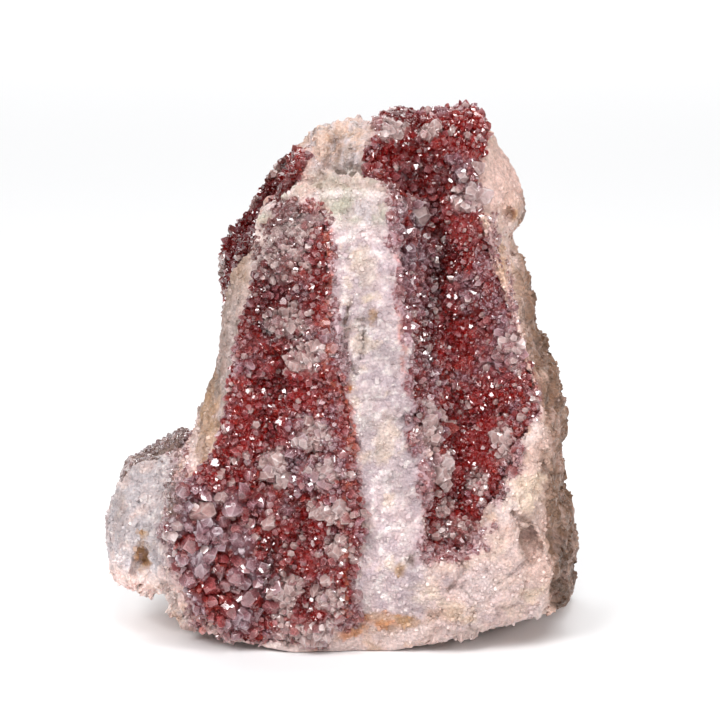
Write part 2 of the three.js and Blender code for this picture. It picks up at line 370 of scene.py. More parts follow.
def quartz_point(column, ends, flat):
    """A quartz crystal of radius 1: a six-sided column cut by six end faces, some higher than others."""
    bm = bmesh.new()
    bmesh.ops.create_cone(bm, cap_ends=True, segments=6, radius1=1, radius2=1, depth=6)
    bmesh.ops.translate(bm, verts=bm.verts, vec=(0, 0, 3))
    bm.normal_update()
    sides = [f.normal.copy() for f in bm.faces if abs(f.normal.z) < 0.1]
    for side, end in zip(sides, ends):
        cut = bmesh.ops.bisect_plane(
            bm, geom=bm.verts[:] + bm.edges[:] + bm.faces[:], clear_outer=True,
            plane_co=(0, 0, column + 1.1 + end), plane_no=side * 0.786 + Vector((0, 0, 0.618)),
        )
        rim = [e for e in cut["geom_cut"] if isinstance(e, bmesh.types.BMEdge)]
        bmesh.ops.holes_fill(bm, edges=rim, sides=0)
    bmesh.ops.scale(bm, verts=bm.verts, vec=(1, flat, 1))
    return corners_and_faces(bm)


def small_point(tall, lean, flat):
    """A little six-sided point of radius 1."""
    bm = bmesh.new()
    bmesh.ops.create_cone(bm, cap_ends=True, segments=6, radius1=1, radius2=0, depth=tall)
    bmesh.ops.translate(bm, verts=bm.verts, vec=(0, 0, tall / 2))
    tip = max(bm.verts, key=lambda v: v.co.z)
    bmesh.ops.translate(bm, verts=[tip], vec=(lean, 0.4 * lean, 0))
    bmesh.ops.scale(bm, verts=bm.verts, vec=(1, flat, 1))
    return corners_and_faces(bm)


def lump(lean, flat):
    """A little block with its corner up, like a grain of sugar."""
    bm = bmesh.new()
    corner_up = Matrix.Rotation(math.radians(54.7), 4, "X") @ Matrix.Rotation(math.radians(45), 4, "Z")
    bmesh.ops.create_cube(bm, size=1.25, matrix=corner_up)
    bmesh.ops.transform(bm, matrix=Matrix.Shear("XY", 4, (lean, lean / 2)), verts=bm.verts)
    bmesh.ops.scale(bm, verts=bm.verts, vec=(1, flat, 1))
    bmesh.ops.translate(bm, verts=bm.verts, vec=(0, 0, 0.3))
    return corners_and_faces(bm)


def corners_and_faces(bm):
    """Corners and triangles of a closed form, and how far off each triangle's real edges are."""
    bmesh.ops.triangulate(bm, faces=bm.faces)
    bmesh.ops.recalc_face_normals(bm, faces=bm.faces)
    bm.verts.index_update()
    corners = np.array([v.co[:] for v in bm.verts])
    faces = np.array([[v.index for v in f.verts] for f in bm.faces])
    rims = np.ones((len(faces), 3, 4))
    for face, rim in zip(bm.faces, rims):
        for k in range(3):
            if face.loops[(k + 1) % 3].edge.calc_face_angle(0) > 0.05:
                rim[:, k] = 0
                rim[k, k] = 1
    bm.free()
    return corners, faces, rims


CRYSTALS = [
    quartz_point(0.5, (0.02, 0.42, 0.07, 0.5, 0.0, 0.36), 0.95),
    quartz_point(0.8, (0.1, 0.25, 0.0, 0.55, 0.3, 0.05), 0.85),
    quartz_point(0.4, (0.0, 0.6, 0.12, 0.3, 0.05, 0.7), 1.0),
    quartz_point(0.6, (0.3, 0.08, 0.5, 0.02, 0.45, 0.0), 0.75),
]
POINTS = [small_point(1.1, 0.15, 0.9), small_point(1.0, 0.4, 0.85), small_point(1.25, 0.25, 0.7)]
SUGAR = POINTS + [lump(0.1, 0.9), lump(0.35, 0.75), lump(-0.25, 1.0)]


# ---------------------------------------------------------------- growing crystals


def spread_over(piece, count, near, keep):
    """Random places on a piece with their normals, near(places) mm apart, where keep says so."""
    mesh = piece.data
    mesh.calc_loop_triangles()
    corners = np.zeros(len(mesh.vertices) * 3, np.float32)
    mesh.vertices.foreach_get("co", corners)
    corners = corners.reshape(-1, 3).astype(float) / MM
    tris = np.zeros(len(mesh.loop_triangles) * 3, np.int32)
    mesh.loop_triangles.foreach_get("vertices", tris)
    a, b, c = (corners[tris.reshape(-1, 3)[:, i]] for i in range(3))
    across = np.cross(b - a, c - a)
    area = np.linalg.norm(across, axis=1)
    pick = dice.choice(len(area), size=count, p=area / area.sum())
    u, v = dice.random((2, count))
    over = u + v > 1
    u[over], v[over] = 1 - u[over], 1 - v[over]
    places = a[pick] + (b - a)[pick] * u[:, None] + (c - a)[pick] * v[:, None]
    normals = across[pick] / area[pick][:, None]
    wanted = keep(places, normals)
    places, normals = places[wanted], normals[wanted]
    room = near(places)
    cell = room.max()
    grid, chosen = {}, []
    for i, ((x, y, z), r) in enumerate(zip(places.tolist(), room.tolist())):
        cx, cy, cz = int(x // cell), int(y // cell), int(z // cell)
        near_ones = (
            other
            for dx in (-1, 0, 1)
            for dy in (-1, 0, 1)
            for dz in (-1, 0, 1)
            for other in grid.get((cx + dx, cy + dy, cz + dz), ())
        )
        crowded = any(
            (x - q) ** 2 + (y - s) ** 2 + (z - t) ** 2 < (0.5 * (r + o)) ** 2
            for q, s, t, o in near_ones
        )
        if crowded:
            continue
        grid.setdefault((cx, cy, cz), []).append((x, y, z, r))
        chosen.append(i)
    return places[chosen], normals[chosen]


def unit(rows):
    """Rows made 1 long."""
    return rows / np.linalg.norm(rows, axis=1)[:, None]


def turns_to(ways):
    """Turns that take +Z along each way, spun at random about it."""
    side = np.where(np.abs(ways[:, 2:3]) < 0.9, [[0.0, 0.0, 1.0]], [[1.0, 0.0, 0.0]])
    x = unit(np.cross(side, ways))
    y = np.cross(ways, x)
    spin = dice.uniform(0, math.tau, len(ways))[:, None]
    across = np.cos(spin) * x + np.sin(spin) * y
    along = np.cos(spin) * y - np.sin(spin) * x
    return np.stack([across, along, ways], axis=2)


def grown(name, finish, forms, places, ways, radii, foot, tip, tilt=0.35, sunk=0.4, tall=(0.85, 1.25)):
    """One piece of many crystals, with radii in mm and coloured from foot to tip."""
    kinds = dice.integers(len(forms), size=len(places))
    leaning = unit(ways + dice.normal(0, tilt, ways.shape))
    turns = turns_to(leaning)
    stretch = dice.uniform(*tall, len(places))
    seats = places - leaning * (sunk * radii)[:, None]
    all_corners, all_faces, all_colours, all_rims, offset = [], [], [], [], 0
    for kind, (corners, faces, rims) in enumerate(forms):
        mine = np.nonzero(kinds == kind)[0]
        shape = corners[None] * radii[mine, None, None]
        shape[:, :, 2] *= stretch[mine, None]
        placed = np.einsum("nij,nkj->nki", turns[mine], shape) + seats[mine, None]
        placed[:, :, 2] = placed[:, :, 2].clip(0)
        rise = np.clip(1.3 * corners[:, 2] / corners[:, 2].max() - 0.3, 0, 1)
        colours = foot[mine, None] * (1 - rise)[None, :, None] + tip[mine, None] * rise[None, :, None]
        all_corners.append(placed.reshape(-1, 3))
        all_colours.append(colours.reshape(-1, 3))
        all_rims.append(np.tile(rims.reshape(-1), len(mine)))
        firsts = offset + len(corners) * np.arange(len(mine))[:, None, None]
        all_faces.append((faces[None] + firsts).reshape(-1, 3))
        offset += len(corners) * len(mine)
    mesh = bpy.data.meshes.new(name)
    mesh.from_pydata((np.concatenate(all_corners) * MM).tolist(), [], np.concatenate(all_faces).tolist())
    piece = bpy.data.objects.new(name, mesh)
    scene.collection.objects.link(piece)
    painted(piece, np.concatenate(all_colours))
    facets = mesh.attributes.new("facet", "FLOAT_COLOR", "CORNER")
    facets.data.foreach_set("color", np.concatenate(all_rims).astype(np.float32))
    mesh.materials.append(finish)
    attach(piece, "root")
    print(name, len(places), "crystals", len(mesh.polygons), "faces")


def tree_of(*nodes):
    """A search tree over CAD nodes, in mm."""
    corners, faces = [], []
    for node in nodes:
        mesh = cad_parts[node].data
        faces += [[i + len(corners) for i in p.vertices] for p in mesh.polygons]
        corners += [v.co / MM for v in mesh.vertices]
    return BVHTree.FromPolygons(corners, faces)


ROCK = tree_of("quartz_block")
CRUSTS = tree_of("left_druse", "right_druse", "rear_druse", "lobe_druse")


def uncovered(tree, places, normals):
    """True where a place is outside a tree's solids and no face within 0.6 mm looks back at it."""
    clear = []
    for place, normal in zip(places.tolist(), normals.tolist()):
        spot, way, _, far = tree.find_nearest(place)
        outside = (Vector(place) - spot).dot(way) > 0
        clear.append(outside and (far > 0.6 or way.dot(Vector(normal)) > -0.35))
    return np.array(clear, bool)


def off_crusts(p):
    """How far places p are from the nearest crust, in mm."""
    return np.array([CRUSTS.find_nearest(q)[3] for q in p.tolist()])


# Ovals where crystals creep onto the block: centre x and z, half width, half height and share.
CREEP = [
    (12, 97, 3, 7, 1), (13.4, 86, 2.6, 8, 1), (14.4, 76, 2.2, 7, 1), (12.5, 105, 4, 4, 1),
    (15.5, 64, 2.2, 6, 1), (16.4, 53, 3, 6, 1), (18.4, 43, 2.6, 6, 1), (19.5, 34, 2.4, 5, 1),
    (-39, 30, 4, 14, 0.8), (-34, 12, 3, 9, 0.8), (-24, 6, 8, 4, 1), (1, 26, 2, 10, 0.9),
    (-1, 10, 5, 6, 1), (41, 58, 4, 5, 1), (38, 47, 3, 6, 1), (34, 39, 3, 4, 1), (-11, 101, 6, 2.6, 1),
    (25, 29, 8, 3, 1), (34, 92, 1.6, 8, 0.7), (38, 76, 1.6, 10, 0.7), (9, 116, 3, 8, 0.8),
    (-2.6, 74, 1.6, 10, 0.7), (-3.2, 91, 1.5, 7, 0.8), (-0.6, 66, 2, 7, 0.7), (19, 27, 2.4, 4, 1),
    (24, 26, 8, 3.4, 1),
]


# ---------------------------------------------------------------- the quartz block

# Lines on the front: red seams, the ledge's ridge, dark creases and a sharp edge, as x and z.
# All but the ridge run from the bottom up, and the ridge runs from left to right.
EMBER_LINE = [
    (0, 8), (0.1, 23), (-0.6, 33), (1.6, 46), (1.4, 57), (-3.6, 64), (-4.6, 72), (-4.2, 84), (-3.2, 97),
]
LEFT_LINE = [(-33.4, 4), (-34.4, 10), (-36.4, 21), (-36.8, 25)]
RIB_LINE = [(14, 60), (12.6, 72), (12.2, 83), (11.8, 92), (12.5, 97)]
RIDGE = [
    (-24, 88), (-19.5, 95.7), (-16.5, 99.6), (-10.6, 103.7), (-3.7, 105.4), (4.4, 105.3), (9, 104.5),
    (13, 102),
]
CREASES = [
    [(1.8, 64.8), (-0.2, 71.4), (0.2, 77), (1, 81.3)], [(3.4, 68), (3.9, 73), (3.5, 77.3)],
    [(43.5, 29), (39, 33), (35, 38.5)], [(24, 16), (27, 21), (25, 26)],
    [(-6, 107), (-4, 113), (-2.4, 118)],
]
CREST = [(50.4, 6), (50.8, 28), (47.6, 38), (44.8, 48), (43.6, 54)]
# Small pits in the front: centre x and z, half width, half height and depth.
PITS = [
    (41.5, 29.5, 2.2, 4.6, 1.1), (-47.6, 19.6, 1.8, 4.2, 0.8), (38.4, 100.5, 1.8, 3.4, 0.9),
    (41.6, 83, 1.3, 2.4, 1.0), (43.4, 75.5, 1.4, 2.4, 1.0), (6.2, 78, 1.2, 2.6, 0.7),
    (0.6, 62, 1.2, 1.2, 0.8), (14.6, 23, 0.9, 1.4, 0.8), (12.4, 20.5, 0.8, 1.6, 0.8),
    (48.4, 25.5, 2, 3.4, 1.2), (44.2, 47.6, 0.8, 1, 0.8),
]


def pitted(p, wider):
    """Depth in mm of the pits at places p, each made wider."""
    total = np.zeros(len(p))
    for x, z, wide, tall, deep in PITS:
        total = np.maximum(total, deep * patch(p, x, z, wider * wide, wider * tall, 0.15))
    return total


def block_relief(p, n):
    """How far the surface of the block stands out, in mm, at places p with normals n."""
    x, y, z = p.T
    front = step(0.2, -0.3, n[:, 1])
    rib = step(-6, -3, x) * step(20, 16, x) * step(100, 90, z) * front
    knob = patch(p, 38, 104, 8, 14, 0.1)
    calm = 1 - np.maximum(0.45 * rib, 0.7 * knob)
    relief = 0.8 * cloud(p, 15, 3.1, 3) * calm
    relief += 0.2 * cloud(p, 2.4, 1.3, 2)
    heights, cracks = chips(p, 6.5, 3.7, 0.42)
    relief += (heights - 0.5 * cracks) * calm
    right = step(0.2, 0.7, n[:, 0]) * step(28, 34, x)
    trim = 1.4 * step(99, 104, z) + 1.6 * step(60, 66, z) * step(95, 90, z)
    trim += 2.0 * step(24, 30, z) * step(50, 40, z)
    relief -= right * trim
    relief -= 1.6 * step(112, 117, z) * step(9, 6, x) * step(-7, -3, x)
    relief -= 2.4 * step(-37, -43, x) * step(14, 8, z)
    relief += chips(p, 2.6, 8.1, 0.4)[0] * calm
    lower_left = patch(p, -40, 12, 10, 12, 0.2)
    relief += chips(p, 6, 1.9, 1.1)[0] * lower_left
    over = z - np.interp(x, *zip(*RIDGE)) + 0.6 * cloud(p, 4, 2.4, 2)
    shelf = 2.4 * step(-5, -0.4, over) * step(0.7, 0, over) - 1.7 * step(0, 0.8, over) * step(5, 1.2, over)
    shelf += 0.8 * cloud(p, 1.6, 4.9, 2, (7, 1, 1)) * step(-7, -3, over) * step(6, 3, over)
    relief += shelf * step(-22, -18, x) * step(14, 11, x) * step(0.3, 0, n[:, 1])
    for crease in CREASES:
        relief -= 1.8 * seam(p, crease, 1.2) * front
    left_edge = step(-20, -26, x) * step(44, 56, z) * step(98, 90, z)
    relief += 1.1 * cloud(p, 2.0, 5.5, 2, (1, 1.2, 14)) * left_edge
    top = step(96, 101, z) * step(12, 4, x)
    relief += 1.5 * cloud(p, 2.0, 6.2, 2, (1, 2, 9)) * top
    away = step(0.2, 0.7, n[:, 1])
    heights, cracks = chips(p, 13, 6.3, 0.35)
    relief += (0.7 * cloud(p, 9, 2.6, 3) + heights - 0.8 * cracks) * away
    heights, cracks = chips(p, 9, 4.3, 0.22)
    relief += (heights - 0.5 * cracks) * step(0.5, 0.8, n[:, 0])
    relief += 1.0 * seam(p, CREST, 1.4) * step(-10, -14, y)
    relief -= 1.3 * pitted(p, 1) * step(0.7, 0.1, n[:, 1])
    return relief


# Stains seen from the front: centre x and z, half width, half height, colour and share.
STAINS = [
    (-31.4, 52, 3.2, 8, TAN, 0.6), (-33, 46, 1.6, 5, BROWN, 0.5), (-47.6, 19.6, 1.8, 4.6, TAN, 0.95),
    (-47.2, 18, 1.0, 2.4, BROWN, 0.35), (-54, 30, 1.6, 5, BROWN, 0.7), (-50, 10, 4, 3, PINK, 0.6),
    (-43, 8, 4, 4, SNOW, 0.6), (41.5, 30, 2.4, 4, BROWN, 0.55), (50, 34, 2.4, 6, BROWN, 0.7),
    (51, 18, 2.6, 8, UMBER, 0.7), (45, 45, 1, 3, BROWN, 0.6), (40.5, 38.5, 5, 3.6, CREAM, 0.7),
    (38.4, 100, 1.6, 3.4, TAN, 0.9), (41.6, 83, 1.4, 2.6, BROWN, 0.6),
    (43.4, 75.5, 1.6, 2.6, BROWN, 0.7), (6, 8.6, 7, 1.9, RUST, 0.85), (14, 8, 4, 1.6, TAN, 0.6),
    (1, 5.4, 3, 2, RUST, 0.8), (8, 9.4, 2.4, 1.2, BEIGE, 0.8), (3, 6.6, 1.6, 1, BROWN, 0.7),
    (10, 6.4, 1.6, 1, BROWN, 0.6), (13.6, 8.6, 2, 1, TAN, 0.8), (0.6, 62, 1.1, 1, RUST, 1.0),
    (6.2, 77.5, 1.0, 1.8, TAN, 0.8), (5.8, 81.5, 2.4, 1.2, CREAM, 0.9), (-2, 115, 1.2, 5, BROWN, 0.6),
    (1, 118, 3, 2, TAN, 0.5), (-10, 110, 2, 7, PINK, 0.8), (-4, 117, 1.4, 4, TAN, 0.5),
    (14.8, 23.2, 1.3, 1.5, BROWN, 0.6), (12.4, 20.6, 1, 1.6, TAN, 0.8), (9, 50, 2.6, 5, CREAM, 0.5),
    (24, 10, 5, 2.6, TAN, 0.35), (43, 14, 2.4, 2, CREAM, 0.7), (4, 88, 3, 4, CREAM, 0.4),
    (4, 72, 3, 3, CREAM, 0.5), (3, 30, 2.4, 5, CREAM, 0.4), (44, 24, 4, 4, PINK, 0.5),
    (33, 80, 1.2, 12, TAN, 0.5), (36, 88, 1.4, 6, TAN, 0.6),
]


def milky_colours(p, rib, warm, lobe, wide, fine, tiny):
    """Milky quartz: pink and beige on the right, lilac on the rib, bluish on the lobe."""
    colour = blend(MILK[None, :].repeat(len(p), 0), PINK, 0.45 + 0.9 * wide)
    colour = blend(colour, BEIGE, 0.9 * step(0.05, 0.5, fine))
    colour = blend(colour, SNOW, 0.6 * step(0.2, 0.6, -fine))
    colour = blend(colour, BEIGE, warm * (0.35 + 0.6 * wide))
    colour = blend(colour, PINK, 0.5 * warm * step(-0.1, 0.4, cloud(p, 6, 1.6, 2)))
    cracks = chips(p, 6.5, 3.7, 0.5)[1]
    colour = blend(colour, STONE, 0.3 * cracks * (1 - 0.8 * rib))
    colour = blend(colour, LILAC, rib * (0.8 + 0.5 * fine))
    colour = blend(colour, CREAM, 0.55 * rib * step(0.3, 0.6, cloud(p, 5, 1.1, 3)))
    colour = blend(colour, SNOW, 0.7 * rib * step(0.15, 0.5, tiny))
    colour = blend(colour, ICE, lobe * (0.85 + 0.3 * fine))
    return blend(colour, SNOW, 0.8 * lobe * step(0.25, 0.5, tiny))


def with_top(colour, p, front, fine):
    """The greenish ledge, the ridge at its edge with a painted shadow line just over it, and the streaked face
    over it.
    """
    x, _, z = p.T
    ledge = step(95, 100, z) * step(112, 106, z) * step(16, 8, x) * front
    colour = blend(colour, GREY_GREEN, ledge * (0.6 + 1.0 * fine))
    colour = blend(colour, ICE, 0.7 * ledge * step(-0.1, -0.5, fine))
    over = z - np.interp(x, *zip(*RIDGE))
    near = step(-22, -18, x) * step(14, 11, x) * front
    colour = blend(colour, SNOW, 0.35 * near * step(-2.5, -0.8, over) * step(0.5, -0.2, over))
    # Painted shade: a grey band just over the ridge, where the face above it is set back.
    colour = blend(colour, STONE, 0.6 * near * step(0.1, 0.7, over) * step(3.4, 1, over))
    crest = step(106, 111, z) * step(8, 2, x)
    streak = cloud(p, 2.6, 6.6, 2, (1, 1, 9))
    colour = blend(colour, ICE, 0.8 * crest)
    colour = blend(colour, BEIGE, crest * step(0.0, 0.3, streak) * 0.8)
    return blend(colour, STONE, 0.8 * crest * step(0.05, 0.35, -streak))


def with_left_face(colour, p, left_edge):
    """The upright bands of the left face."""
    bands = cloud(p, 2.0, 5.5, 2, (1, 1.2, 14))
    colour = blend(colour, MILK, left_edge)
    colour = blend(colour, STONE, left_edge * (0.35 + 0.6 * step(-0.2, 0.4, bands)))
    colour = blend(colour, TAN, 0.4 * left_edge * step(76, 88, p[:, 2]))
    streaks = cloud(p, 1.5, 1.5, 2, (1, 1.2, 16))
    return blend(colour, BROWN, 0.5 * left_edge * step(0.25, 0.6, streaks))


def with_lower_right(colour, p, front, fine):
    """The lilac core at the foot, and the beige rim beside the right hollow."""
    x, _, z = p.T
    core = patch(p, 28, 16, 16, 12, 0.6) * front
    colour = blend(colour, LILAC, core * (0.25 + 0.7 * fine))
    colour = blend(colour, CREAM, 0.6 * core * step(0.1, 0.5, cloud(p, 6, 7.2, 3)))
    rim = step(30, 36, x) * step(60, 76, z) * front
    return blend(colour, BEIGE, 0.6 * rim * (0.6 + fine))


def with_broken_faces(colour, p, n, back, wide, fine):
    """The brown, broken right side, partly its own brown and partly painted shade of a face turned from the
    light, and the plainer back with its cloudy layers.
    """
    x, _, z = p.T
    side = np.maximum(step(0.5, 0.85, n[:, 0]) * step(38, 44, x), back * step(26, 46, x + 16 * wide))
    facets, cracks = chips(p, 9, 4.3, 0.22)
    colour = blend(colour, CLAY, side * (0.9 + 0.4 * wide))
    colour = blend(colour, BROWN, side * step(-0.5, 0.9, facets + 0.9 * fine) * 0.9)
    # Umber towards the bottom of the side and in its cracks: partly its own colour, partly painted shade.
    umber_and_shade = np.maximum(step(34, 10, z) * (0.55 + 0.5 * fine), 0.7 * cracks)
    colour = blend(colour, UMBER, side * umber_and_shade)
    colour = blend(colour, BEIGE, 0.5 * side * step(0.3, 0.7, cloud(p, 6, 5.7, 3)))
    far = cloud(p, 26, 8.3, 4) + 0.35 * fine
    plain = back * (1 - side)
    colour = blend(colour, STONE, plain * (0.35 + 0.8 * far))
    colour = blend(colour, CLAY, 0.6 * plain * step(0.1, 0.7, far))
    colour = blend(colour, TAN, 0.6 * plain * step(0.25, 0.6, cloud(p, 9, 2.9, 4)))
    return blend(colour, MILK, 0.7 * plain * step(0.1, 0.5, -far))


def with_stains(colour, p, front, back, wide):
    """Stains, red seams and dark creases on the front."""
    _, y, z = p.T
    seen = step(-8, -18, y - 0.16 * z + 6 * wide)
    for at_x, at_z, half_width, half_height, hue, share in STAINS:
        spot = patch(p, at_x, at_z, half_width, half_height, 0.95)
        colour = blend(colour, hue, share * spot * (1 - back) * seen)
    for line, share in ((EMBER_LINE, 0.8), (LEFT_LINE, 0.8), (RIB_LINE, 0.5)):
        colour = blend(colour, EMBER, share * seam(p, line, 0.8) * front)
    for crease in CREASES:
        colour = blend(colour, BROWN, 0.65 * seam(p, crease, 0.8) * front)
    return colour


def block_colours(p, n):
    """The block's tints at places p with normals n."""
    x, _, z = p.T
    front = step(0.3, -0.2, n[:, 1])
    back = step(0.1, 0.6, n[:, 1])
    wide = cloud(p, 16, 4.4, 3)
    fine = cloud(p, 4.2, 9.3, 3)
    tiny = cloud(p, 1.7, 2.8, 2)
    warm = step(16, 26, x) * front
    rib = step(-8, -3, x) * step(20, 16, x) * step(4, 14, z) * step(108, 98, z) * front
    lobe = step(-38, -43, x + 3 * fine) * step(50, 44, z) * step(12, 20, z + 4 * fine)
    left_edge = step(-20, -25, x) * step(44, 54, z) * step(100, 92, z)
    colour = milky_colours(p, rib, warm, lobe, wide, fine, tiny)
    colour = with_top(colour, p, front, fine)
    colour = with_left_face(colour, p, left_edge)
    colour = with_lower_right(colour, p, front, fine)
    colour = with_broken_faces(colour, p, n, back, wide, fine)
    colour = blend(colour, PINK, 0.4 * step(0.1, 0.6, -fine) * front * (1 - rib))
    colour = with_stains(colour, p, front, back, wide)
    colour = blend(colour, PINK, 0.8 * patch(p, 37, 107, 6, 9, 0.3))
    rim = step(3.0, 0.4, off_crusts(p)) * (0.5 + 0.8 * fine)
    colour = blend(colour, ROSE, 0.5 * rim * (1 - step(0.1, 0.5, n[:, 1])))
    colour = blend(colour, MAUVE * 0.6, 0.7 * share_of(CREEP, p) * front)
    # Painted shade and light: a brightness factor, darker on the rib, the lobe and the warm right part, darker
    # on the left face as painted shade of a face turned from the light, and lighter at the foot of the lobe, on
    # the left face and at the right rim as painted light.
    shade = 0.95 - (0.11 + 0.12 * step(38, 48, z) * step(88, 78, z)) * rib
    shade = shade - 0.15 * lobe - 0.21 * left_edge - 0.04 * warm
    painted_light = 0.3 * patch(p, -50, 12, 8, 10, 0.3) + 0.12 * patch(p, -31, 50, 5, 10, 0.3)
    shade += painted_light + 0.08 * patch(p, 39, 80, 6, 14, 0.3)
    shade += 0.22 * rib * cloud(p, 6, 9.9, 3)
    return colour * (shade * (1 + 0.2 * tiny))[:, None]


block = copy_of("quartz_block", "quartz_block_rock")
remeshed(block, 0.74)
softened(block, 4)
places, normals = vertices_of(block)
relief = block_relief(places, normals) * step(0.2, 2.5, places[:, 2])
places = places + normals * relief[:, None]
places[:, 2] = np.maximum(places[:, 2], 0)
moved(block, places)
tints = block_colours(places, normals)
painted(block, tints)
ground = KDTree(len(places))
for number, place in enumerate(places.tolist()):
    ground.insert(place, number)
ground.balance()
block.data.shade_smooth()
block.data.materials.append(QUARTZ)
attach(block, "root")
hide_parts("quartz_block")
print("rock", len(block.data.polygons), "quads")


def block_tints(p):
    """The block's own colour under places p."""
    return tints[[ground.find(q)[1] for q in p.tolist()]]


# ---------------------------------------------------------------- tones of the druse

# Ovals of crystals of one tone, from the front: centre x and z, half width, half height and share.
RED = [
    (-6, 84, 2.4, 10, 0.4), (-17, 88, 4, 5, 0.5), (-17, 77, 4, 5, 0.7), (-14, 62, 11, 7, 0.95),
    (-20, 52, 8, 6, 0.95), (-27, 42, 6, 4, 0.9), (-10, 27, 8, 8, 0.85), (-9, 12, 5, 3.4, 1.0),
    (-14, 8, 8, 4, 0.4), (0, 20, 1.6, 10, 0.9), (16, 109, 8, 8, 0.9), (24, 100, 5, 6, 0.6),
    (25, 91, 5, 7, 0.75), (23, 78, 3.5, 12, 0.8), (26, 70, 7, 7, 0.9), (29, 48, 7, 13, 1.0),
    (25, 33, 6, 6, 0.8), (36, 60, 5, 4, 0.7), (-22, 96, 16, 24, 1.0), (25, 116, 12, 5, 0.7),
    (11, 112, 3, 4, 0.5),
]
PALE = [
    (-10, 98, 5, 3, 0.6), (-14, 90, 6, 5, 0.45), (-13, 76, 5, 4, 0.7), (-9, 68, 4, 5, 0.7),
    (-16.6, 43, 3, 4.4, 1.0), (-7.6, 50.5, 4, 3.6, 0.9), (-4, 42, 3.4, 2.6, 0.9), (-3, 34, 5, 2, 0.9),
    (-1, 26, 3, 2.6, 0.9), (-14, 14, 3, 6, 0.9), (-3, 14, 3, 5, 0.9), (-8, 5, 8, 3, 0.9),
    (11, 118, 3.4, 2.4, 1.0), (19.5, 117, 2.4, 1.6, 0.9), (28, 103, 4, 4, 0.3), (19, 52, 3, 5, 0.9),
    (22, 42, 2, 4, 0.9), (22.4, 34, 2, 2.4, 0.8), (36, 48, 2.4, 4, 0.9), (30.6, 39.5, 2.4, 3, 0.8),
    (25, 29, 7, 2.4, 0.6), (39, 70, 3, 8, 0.5),
]
LOW_MAUVES = [(-31, 26, 10, 15, 1.0), (-22, 14, 8, 8, 1.0)]
LEFT_MAUVES = LOW_MAUVES + [(-14, 94, 7, 7, 0.9), (-20, 68, 6, 4, 0.5)]
MAUVES = LEFT_MAUVES + [
    (15, 94, 4, 12, 1.0), (14, 104, 3, 6, 0.9), (28, 104, 4, 5, 0.9), (26, 110, 4, 4, 0.6),
    (27, 82, 5, 5, 0.5), (34, 66, 5, 6, 0.5), (20.5, 46, 2.6, 12, 0.9), (-4, 24, 4, 5, 0.5),
    (-12, 34, 4, 3, 0.4), (37, 72, 4, 10, 0.7), (-12, 72, 9, 5, 0.7), (-8, 46, 8, 8, 0.6),
    (-15, 84, 6, 5, 0.5),
]
GREYS = [
    (-31, 25, 10, 13, 1.0), (-23, 13, 7, 8, 0.9), (-16, 92, 6, 5, 0.6), (15, 96, 4, 10, 0.8),
    (28, 104, 4, 5, 0.8), (20, 44, 3, 9, 0.7), (-12, 72, 8, 4, 0.7), (-8, 46, 7, 7, 0.5),
]
# Ovals where the crystals are darkened to oxide: painted shade on the right hollow's left wall and in the
# recessed rear hollow, and deep red in the other places.
SHADE_AND_OXIDE = [
    (21, 84, 2.6, 8, 1.0), (19, 72, 2.4, 8, 0.8), (-18, 76, 2.4, 4, 0.9), (-2.6, 29, 1.4, 3.6, 0.9),
    (-17.5, 20, 2, 4, 1.0), (-13, 34, 3, 3, 0.5), (-20, 11, 4, 4, 0.5), (-22, 96, 12, 22, 0.8),
    (17, 108, 8, 7, 0.7), (20, 100, 3, 3, 0.8), (22, 92, 3, 6, 0.6),
]


def druse_tones(p, height):
    """Foot and tip colours of crystals at places p, on heads of a height from 0 to 1."""
    mauve = share_of(MAUVES, p)
    dark = share_of(SHADE_AND_OXIDE, p)
    pale = share_of(PALE, p)
    odd = dice.normal(0, 0.13, len(p))
    near = cloud(p, 2.2, 1.9, 2)
    # Low places between the heads: redder crystals with feet darkened to oxide, partly the deep red of the gaps
    # and partly painted shade in them.
    low = step(0.7, 0.2, height)
    red = 1.1 * share_of(RED, p) * (1 - 0.6 * mauve) + 0.3 * cloud(p, 5, 7.7, 2) + 0.25 * near
    red = red + 0.4 * low + odd + 0.13
    foot = blend(OXIDE[None].repeat(len(p), 0), BLOOD, 0.5 + 0.5 * red)
    foot = blend(foot, MAUVE * 0.42, 0.85 * mauve * (1 - low))
    tip = blend(MAUVE[None].repeat(len(p), 0), GLASSY, (0.3 + 0.5 * near + 2 * odd) * (0.4 + 0.6 * height))
    tip = blend(tip, SILVER, 0.85 * share_of(GREYS, p))
    tip = blend(tip, ROSE, 0.8 * step(0.15, 0.4, red))
    tip = blend(tip, BRICK, 0.9 * step(0.35, 0.65, red))
    tip = blend(tip, BLOOD, 0.85 * step(0.6, 0.95, red))
    # Painted shade and deep oxide: under the darkened ovals the tips and feet turn to oxide.
    tip = blend(tip, OXIDE, dark * step(-0.9, -0.1, near + odd))
    foot = blend(foot, OXIDE, np.maximum(0.9 * dark, 0.6 * low))
    foot = blend(foot, FROST, 0.5 * pale * (1 - low))
    tip = blend(tip, FROST, 0.4 * pale)
    lobe = step(-36, -40, p[:, 0]) * step(30, 34, p[:, 2])
    tip = blend(tip, ICE, 0.8 * lobe)
    foot = blend(foot, STONE, 0.8 * lobe)
    ember = seam(p, EMBER_LINE, 0.8)
    deep = (0.97 - 0.09 * share_of(RED, p) + 0.14 * share_of(LEFT_MAUVES, p))[:, None]
    return blend(deep * foot, EMBER, 0.8 * ember), blend(deep * tip, EMBER, 0.8 * ember)


def same_everywhere(size):
    """A size that doesn't change from place to place."""
    return lambda p: np.full(len(p), size)


def heads(p):
    """How high places p are on the rounded heads of a crust, from 0 to 1."""
    return domes(p, 7, 2.5)


def toned(p, fade):
    """Foot and tip colours at places p, which turn to the block's own where fade says so."""
    foot, tip = druse_tones(p, heads(p))
    if fade:
        pale, own = fade(p), block_tints(p)
        foot, tip = blend(foot, 0.8 * own, pale), blend(tip, own, pale)
    return foot, tip


